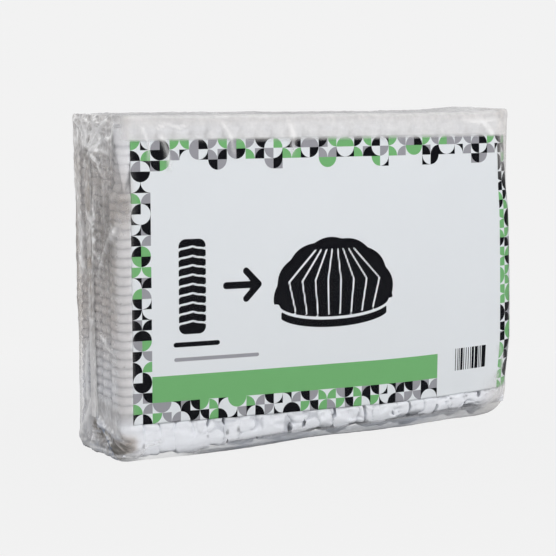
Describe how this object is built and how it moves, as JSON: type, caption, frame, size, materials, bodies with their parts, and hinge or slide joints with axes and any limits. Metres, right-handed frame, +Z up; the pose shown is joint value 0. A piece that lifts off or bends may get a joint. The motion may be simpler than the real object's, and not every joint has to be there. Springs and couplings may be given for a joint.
{
  "type": "bag of folded bouffant caps",
  "caption": "Clear film bag of white pleated bouffant caps, folded and stood on end in rows behind a printed sheet, with sealed ends and a flat base to stand on.",
  "frame": {"origin": "middle of the pack's base, where it stands on a surface", "axes": "+X along the pack, -Y towards the printed front, +Z up"},
  "size_m": [0.252, 0.0668, 0.1854],
  "materials": {
    "clear_film": "thin clear film, glossy, creased",
    "printed_sheet": "smooth white print paper with a border of black, grey and green shapes",
    "cap_cloth": "soft white pleated nonwoven cloth"
  },
  "bodies": {
    "root": {"cap_row1_1": "cap_cloth", "cap_row1_10": "cap_cloth", "cap_row1_11": "cap_cloth", "cap_row1_12": "cap_cloth", "cap_row1_13": "cap_cloth", "cap_row1_14": "cap_cloth", "cap_row1_15": "cap_cloth", "cap_row1_16": "cap_cloth", "cap_row1_17": "cap_cloth", "cap_row1_18": "cap_cloth", "cap_row1_19": "cap_cloth", "cap_row1_2": "cap_cloth", "cap_row1_20": "cap_cloth", "cap_row1_21": "cap_cloth", "cap_row1_22": "cap_cloth", "cap_row1_23": "cap_cloth", "cap_row1_24": "cap_cloth", "cap_row1_25": "cap_cloth", "cap_row1_3": "cap_cloth", "cap_row1_4": "cap_cloth", "cap_row1_5": "cap_cloth", "cap_row1_6": "cap_cloth", "cap_row1_7": "cap_cloth", "cap_row1_8": "cap_cloth", "cap_row1_9": "cap_cloth", "cap_row2_1": "cap_cloth", "cap_row2_25": "cap_cloth", "cap_row3_1": "cap_cloth", "cap_row3_25": "cap_cloth", "cap_row4_1": "cap_cloth", "cap_row4_10": "cap_cloth", "cap_row4_11": "cap_cloth", "cap_row4_12": "cap_cloth", "cap_row4_13": "cap_cloth", "cap_row4_14": "cap_cloth", "cap_row4_15": "cap_cloth", "cap_row4_16": "cap_cloth", "cap_row4_17": "cap_cloth", "cap_row4_18": "cap_cloth", "cap_row4_19": "cap_cloth", "cap_row4_2": "cap_cloth", "cap_row4_20": "cap_cloth", "cap_row4_21": "cap_cloth", "cap_row4_22": "cap_cloth", "cap_row4_23": "cap_cloth", "cap_row4_24": "cap_cloth", "cap_row4_25": "cap_cloth", "cap_row4_3": "cap_cloth", "cap_row4_4": "cap_cloth", "cap_row4_5": "cap_cloth", "cap_row4_6": "cap_cloth", "cap_row4_7": "cap_cloth", "cap_row4_8": "cap_cloth", "cap_row4_9": "cap_cloth", "film_bag": "clear_film", "inner_caps_row2": "cap_cloth", "inner_caps_row3": "cap_cloth", "printed_sheet": "printed_sheet"}
  },
  "joints": []
}
